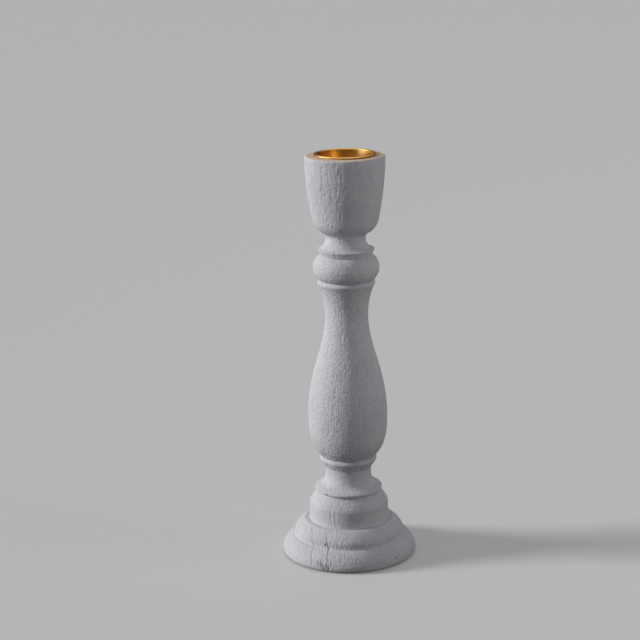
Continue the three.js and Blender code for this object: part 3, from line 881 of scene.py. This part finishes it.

# %% [markdown]
# ## The felt disc
#
# Pressed felt keeps the wood from scratching a table. It is cut from sheet, so its edge is soft and a
# little uneven, and its faces swell and sink by about a tenth of a millimetre. It lies flat under the foot.

# %% The felt
FELT_SEGMENTS = 352
FELT_SWELL, FELT_EDGE = 0.06, 0.12
felt_low, felt_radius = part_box("felt_pad")[0].z / MM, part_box("felt_pad")[1].x / MM

felt = Template(0, felt_low)
felt.line(felt_radius, felt_low, 0.7)
felt.line(felt_radius, felt_top, 0.35)
felt.line(0, felt_top, 1.4)
felt_piece = spun("felt_disc", felt.points(0.5), False, FELT_SEGMENTS)
p, normals = points_of(felt_piece.data)
edge = smooth_step(felt_radius - 1.2, felt_radius, np.hypot(p[:, 0], p[:, 1]))
swell = FELT_SWELL * (noise(p * 0.6) - 0.9) * (1 - edge) + FELT_EDGE * (noise(p * 1.3 + 9.1) - 1.0) * edge
move_points(felt_piece.data, p + normals * swell[:, None])
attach(felt_piece, "candlestick")
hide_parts("felt_pad")

# %% [markdown]
# ## Shared effects
#
# Wood grain, mottling and pits turn up in more than one finish. Each is a node group, built once, with its
# sizes as inputs, so that every material can have it at its own scale. The groups read the piece's own
# Object coordinates, because those stay with the piece when it moves.

# %% Node groups
PER_MM = 1000.0


def new_group(name, inputs, outputs):
    """An empty node group with its sockets. Inputs are name: (kind, starting value), outputs name: kind."""
    group = bpy.data.node_groups.new(name, "ShaderNodeTree")
    for label, (kind, start) in inputs.items():
        socket = group.interface.new_socket(name=label, in_out="INPUT", socket_type="NodeSocket" + kind)
        if start is not None:
            socket.default_value = start
    for label, kind in outputs.items():
        group.interface.new_socket(name=label, in_out="OUTPUT", socket_type="NodeSocket" + kind)
    return group, group.nodes.new("NodeGroupInput"), group.nodes.new("NodeGroupOutput")


def maths(tree, operation, *values):
    """A Math node on sockets or plain numbers."""
    return joined(tree, "ShaderNodeMath", *values, operation=operation)


def scaled(tree, vector, scale):
    """A vector times another."""
    return joined(tree, "ShaderNodeVectorMath", vector, scale, operation="MULTIPLY")


def ranged(tree, value, low, high, to_low=0.0, to_high=1.0):
    """A smooth change from to_low at low to to_high at high."""
    smooth = {"interpolation_type": "SMOOTHSTEP"}
    ends = {"From Min": low, "From Max": high, "To Min": to_low, "To Max": to_high}
    return add(tree, "ShaderNodeMapRange", smooth, Value=value, **ends).outputs["Result"]


def noise_on(tree, vector, scale, detail=2.0, roughness=0.5, distortion=0.0):
    """A Noise Texture's value."""
    finer = {"Detail": detail, "Roughness": roughness, "Distortion": distortion}
    return add(tree, "ShaderNodeTexNoise", Vector=vector, Scale=scale, **finer).outputs["Fac"]


# Grain: fine fibres and rarer open pores that run along the piece's Z axis.
grain_group, given, made = new_group(
    "wood_grain",
    {"Vector": ("Vector", None), "Fibres per mm": ("Float", 2.2), "Stretch": ("Float", 0.06)},
    {"Fibres": "Float", "Pores": "Float"},
)
along = add(grain_group, "ShaderNodeCombineXYZ", X=1.0, Y=1.0, Z=given.outputs["Stretch"])
stretched = scaled(grain_group, given.outputs["Vector"], along.outputs[0])
per_metre = maths(grain_group, "MULTIPLY", given.outputs["Fibres per mm"], PER_MM)
fibres = noise_on(grain_group, stretched, per_metre, 4.0, 0.62, 0.4)
pore_size = maths(grain_group, "MULTIPLY", per_metre, 0.7)
pores = ranged(grain_group, noise_on(grain_group, stretched, pore_size, 1.0, 0.4), 0.60, 0.72)
fill_in(grain_group, made, Fibres=fibres, Pores=pores)

# Mottling: soft patches.
mottle_group, given, made = new_group(
    "mottling", {"Vector": ("Vector", None), "Patch mm": ("Float", 12.0)}, {"Patches": "Float"}
)
patch_scale = maths(mottle_group, "DIVIDE", PER_MM, given.outputs["Patch mm"])
patches = noise_on(mottle_group, given.outputs["Vector"], patch_scale, 5.0, 0.6, 0.6)
fill_in(mottle_group, made, Patches=ranged(mottle_group, patches, 0.3, 0.7))

# Pits: small round hollows, strewn unevenly.
pit_group, given, made = new_group(
    "fine_pits",
    {"Vector": ("Vector", None), "Pits per mm": ("Float", 0.8), "Size": ("Float", 0.25)},
    {"Pits": "Float"},
)
pit_scale = maths(pit_group, "MULTIPLY", given.outputs["Pits per mm"], PER_MM)
cells = add(pit_group, "ShaderNodeTexVoronoi", Vector=given.outputs["Vector"], Scale=pit_scale)
hollow = ranged(pit_group, cells.outputs["Distance"], 0.0, given.outputs["Size"], 1.0, 0.0)
sparse = ranged(pit_group, noise_on(pit_group, given.outputs["Vector"], 140.0), 0.44, 0.58)
fill_in(pit_group, made, Pits=maths(pit_group, "MULTIPLY", hollow, sparse))
print("node groups:", [g.name for g in bpy.data.node_groups])


# %% Starting a material
def new_material(name, metallic, roughness, specular):
    """A material with its Principled BSDF and the piece's Object coordinates."""
    material = bpy.data.materials.new(name)
    tree = empty_tree(material)
    values = {"Metallic": metallic, "Roughness": roughness, "Specular IOR Level": specular}
    shader = add(tree, "ShaderNodeBsdfPrincipled", **values)
    add(tree, "ShaderNodeOutputMaterial", Surface=shader.outputs[0])
    return material, tree, shader, add(tree, "ShaderNodeTexCoord").outputs["Object"]


def use_group(tree, group, vector, **values):
    """A group placed in a material, with its own values."""
    return add(tree, "ShaderNodeGroup", {"node_tree": group}, Vector=vector, **values)


def bump(tree, height, distance, strength, normal=None):
    """A Bump node's normal, on top of another normal if one is given. The distance is in mm."""
    node = add(tree, "ShaderNodeBump", Height=height, Distance=distance * MM, Strength=strength)
    if normal:
        fill_in(tree, node, Normal=normal)
    return node.outputs[0]


def read_mask(tree, name):
    """A mask that was kept in the mesh, as a socket."""
    return add(tree, "ShaderNodeAttribute", {"attribute_name": name}).outputs["Fac"]


def dress(piece, material):
    """Puts a material on a piece in place of what it has."""
    piece.data.materials.clear()
    piece.data.materials.append(material)


# %% [markdown]
# ## Chalk paint on open grain
#
# Chalk paint is dead matt, a cool off-white, and never quite even: it dries thinner on ridges and edges,
# where the warm wood shows through, and dirt stays in the hollows. One flat colour would look like plastic.
# So the colour is built in layers: the white, soft grey mottling, and grey in the hollows of the grain, the
# speckle and the pits, which is dirt and painted shade together. The rim gets a warm blush, which is thin
# paint together with a painted reflection of the gold lip. Dark lines go where the mesh's own masks say
# there is a crack: painted shade in the narrow gap, and dirt. Inside the bores the same mesh shows bare wood.

# %% The painted wood
PAINT_WHITE = (0.790, 0.775, 0.785, 1)
PAINT_GREY = (0.715, 0.710, 0.735, 1)
# Grey for hollows: dirt, and painted shade.
HOLLOW_SHADE_AND_DIRT = (0.60, 0.595, 0.625, 1)
# Warm rim: thin paint, and a painted reflection of the gold lip.
THIN_PAINT_AND_LIP_REFLECTION = (0.93, 0.72, 0.50, 1)
# Near black for the bottom of a crack: painted shade in the gap, and dirt.
CRACK_SHADE_AND_DIRT = (0.070, 0.058, 0.052, 1)
BARE_PALE = (0.66, 0.49, 0.31, 1)
BARE_DARK = (0.47, 0.31, 0.17, 1)
RIM_FROM, RIM_TO = (rim_high - 0.40) * MM, (rim_high - 0.16) * MM
SPECKLE_PER_MM = 0.62

paint, tree, shader, place = new_material("chalk_paint", 0.0, 0.85, 0.22)
grain = use_group(tree, grain_group, place, Fibres_per_mm=1.6, Stretch=0.07)
mottle = use_group(tree, mottle_group, place, Patch_mm=16.0)
small_mottle = use_group(tree, mottle_group, place, Patch_mm=3.2)
pits = use_group(tree, pit_group, place, Pits_per_mm=0.75, Size=0.22)
height = add(tree, "ShaderNodeSeparateXYZ", Vector=place).outputs["Z"]

colour = mix_colours(tree, mottle.outputs[0], PAINT_WHITE, PAINT_GREY)
speckle = noise_on(tree, place, SPECKLE_PER_MM * PER_MM, 3.0, 0.65)
# Grey in the hollows of the speckle, the grain, the relief and the pits: dirt, and painted shade.
colour = mix_colours(tree, ranged(tree, speckle, 0.55, 0.36, 0.0, 0.5), colour, HOLLOW_SHADE_AND_DIRT)
fine_share = maths(tree, "MULTIPLY", ranged(tree, grain.outputs["Fibres"], 0.42, 0.30), 0.35)
colour = mix_colours(tree, fine_share, colour, HOLLOW_SHADE_AND_DIRT)
hollow_share = maths(tree, "MULTIPLY", ranged(tree, read_mask(tree, "hollow"), 0.35, 1.0), 0.45)
colour = mix_colours(tree, hollow_share, colour, HOLLOW_SHADE_AND_DIRT)
# The rim turns warm in patches: thin paint, and a painted reflection of the gold lip.
on_rim = ranged(tree, height, RIM_FROM, RIM_TO)
rim_patches = ranged(tree, small_mottle.outputs[0], 0, 1, 0.7, 1)
colour = mix_colours(tree, maths(tree, "MULTIPLY", on_rim, rim_patches), colour, THIN_PAINT_AND_LIP_REFLECTION)
pit_share = maths(tree, "MULTIPLY", pits.outputs[0], 0.75)
colour = mix_colours(tree, pit_share, colour, HOLLOW_SHADE_AND_DIRT)
# Cracks and dents turn near black: painted shade in the narrow gap, and dirt.
colour = mix_colours(tree, ranged(tree, read_mask(tree, "crack"), 0.15, 0.95), colour, CRACK_SHADE_AND_DIRT)
bare = mix_colours(tree, ranged(tree, grain.outputs["Fibres"], 0.35, 0.65), BARE_DARK, BARE_PALE)
covered = read_mask(tree, "painted")
colour = mix_colours(tree, ranged(tree, covered, 0.3, 0.7), bare, colour)
roughness = ranged(tree, small_mottle.outputs[0], 0, 1, 0.78, 0.92)

normal = bump(tree, grain.outputs["Fibres"], 0.32, 0.8)
pressed = maths(tree, "SUBTRACT", 1.0, grain.outputs["Pores"])
normal = bump(tree, pressed, 0.14, 0.6, normal)
normal = bump(tree, maths(tree, "SUBTRACT", 1.0, pits.outputs[0]), 0.20, 0.9, normal)
normal = bump(tree, speckle, 0.50, 0.9, normal)
fill_in(tree, shader, Base_Color=colour, Roughness=roughness, Normal=normal)
for piece in (foot_piece, stem_piece, socket_piece):
    dress(piece, paint)
print("chalk paint on 3 pieces")

# %% [markdown]
# ## Gold-coloured metal
#
# A thin anodised or lacquered sheet: polished, but pressed on a machine, so it has very fine rings round
# its axis and faint cloudy marks where fingers have been. The rings are waves on the distance from the axis.
# Bump alone makes them, since they are far finer than the mesh. Some of the cloudiness goes into Roughness.

# %% The gold metal
GOLD = (0.85, 0.50, 0.15, 1)
GOLD_DEEP = (0.68, 0.34, 0.07, 1)
RING_SPACING = 0.45  # mm
WAVES_PER_UNIT = 20  # in a Wave Texture at scale 1

metal, tree, shader, place = new_material("gold_metal", 1.0, 0.2, 0.5)
cloud = use_group(tree, mottle_group, place, Patch_mm=7.0)
scuffs = use_group(tree, pit_group, place, Pits_per_mm=1.1, Size=0.12)
colour = mix_colours(tree, ranged(tree, cloud.outputs[0], 0, 1, 0.0, 0.35), GOLD, GOLD_DEEP)
roughness = ranged(tree, cloud.outputs[0], 0, 1, 0.27, 0.32)
round_axis = {"wave_type": "RINGS", "rings_direction": "Z", "wave_profile": "SIN"}
ring_scale = PER_MM / RING_SPACING / WAVES_PER_UNIT
rings = add(tree, "ShaderNodeTexWave", round_axis, Vector=place, Scale=ring_scale, Distortion=0.6, Detail=1.0)
normal = bump(tree, rings.outputs["Fac"], 0.003, 0.3)
normal = bump(tree, maths(tree, "SUBTRACT", 1.0, scuffs.outputs[0]), 0.006, 0.3, normal)
fill_in(tree, shader, Base_Color=colour, Roughness=roughness, Normal=normal)
dress(cup_piece, metal)
print("gold metal on the cup, with rings", RING_SPACING, "mm apart")

# %% [markdown]
# ## Pressed felt
#
# Felt is a mat of short fibres that lie every way. Two stretched noises at right angles, laid over each
# other, look like crossed fibres. Sheen on the shader gives the soft pale bloom that cloth has at a
# grazing angle, and as a plain value it survives the export.

# %% The felt's finish
FELT_DARK = (0.030, 0.030, 0.033, 1)
FELT_PALE = (0.120, 0.120, 0.128, 1)

felt_cloth, tree, shader, place = new_material("pressed_felt", 0.0, 1.0, 0.1)
fill_in(tree, shader, Sheen_Weight=0.35, Sheen_Roughness=0.6)
one_way = noise_on(tree, scaled(tree, place, (1.0, 0.18, 0.4)), 2200.0, 3.0, 0.6, 1.5)
other_way = noise_on(tree, scaled(tree, place, (0.18, 1.0, 0.4)), 2000.0, 3.0, 0.6, 1.5)
fibres = maths(tree, "MAXIMUM", one_way, other_way)
clumps = use_group(tree, mottle_group, place, Patch_mm=4.0)
clumped = ranged(tree, clumps.outputs[0], 0, 1, 0.6, 1.0)
lightness = maths(tree, "MULTIPLY", ranged(tree, fibres, 0.40, 0.72), clumped)
colour = mix_colours(tree, lightness, FELT_DARK, FELT_PALE)
roughness = ranged(tree, fibres, 0.3, 0.7, 1.0, 0.85)
fill_in(tree, shader, Base_Color=colour, Roughness=roughness, Normal=bump(tree, fibres, 0.25, 0.8))
dress(felt_piece, felt_cloth)
print("felt on 1 piece")

# %% [markdown]
# ## Dowel and screw
#
# These two are hidden inside the wood and their CAD shapes are already right, so the CAD nodes stay and
# only get better finishes: pale beech with straight grain for the dowel, and zinc plate with drawn scratches
# and dull patches for the screw.

# %% Bare wood and zinc
BEECH_PALE = (0.70, 0.52, 0.34, 1)
BEECH_DARK = (0.50, 0.33, 0.19, 1)
ZINC_BRIGHT = (0.66, 0.67, 0.69, 1)
ZINC_DULL = (0.44, 0.45, 0.48, 1)

beech, tree, shader, place = new_material("bare_beech", 0.0, 0.65, 0.3)
grain = use_group(tree, grain_group, place, Fibres_per_mm=3.0, Stretch=0.05)
streaks = use_group(tree, mottle_group, place, Patch_mm=6.0)
colour = mix_colours(tree, ranged(tree, grain.outputs["Fibres"], 0.32, 0.66), BEECH_DARK, BEECH_PALE)
colour = mix_colours(tree, ranged(tree, streaks.outputs[0], 0, 1, 0.0, 0.3), colour, BEECH_DARK)
colour = mix_colours(tree, maths(tree, "MULTIPLY", grain.outputs["Pores"], 0.6), colour, BARE_DARK)
roughness = ranged(tree, grain.outputs["Fibres"], 0.3, 0.7, 0.75, 0.55)
normal = bump(tree, grain.outputs["Fibres"], 0.05, 0.6)
fill_in(tree, shader, Base_Color=colour, Roughness=roughness, Normal=normal)
dress(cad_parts["fluted_dowel"], beech)

zinc, tree, shader, place = new_material("zinc_plate", 1.0, 0.35, 0.5)
dull = use_group(tree, mottle_group, place, Patch_mm=2.0)
scratches = noise_on(tree, scaled(tree, place, (1.0, 1.0, 0.1)), 6000.0, 2.0, 0.6)
colour = mix_colours(tree, dull.outputs[0], ZINC_BRIGHT, ZINC_DULL)
roughness = ranged(tree, dull.outputs[0], 0, 1, 0.24, 0.48)
fill_in(tree, shader, Base_Color=colour, Roughness=roughness, Normal=bump(tree, scratches, 0.01, 0.5))
dress(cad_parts["foot_screw"], zinc)
print("finishes:", [m.name for m in bpy.data.materials])
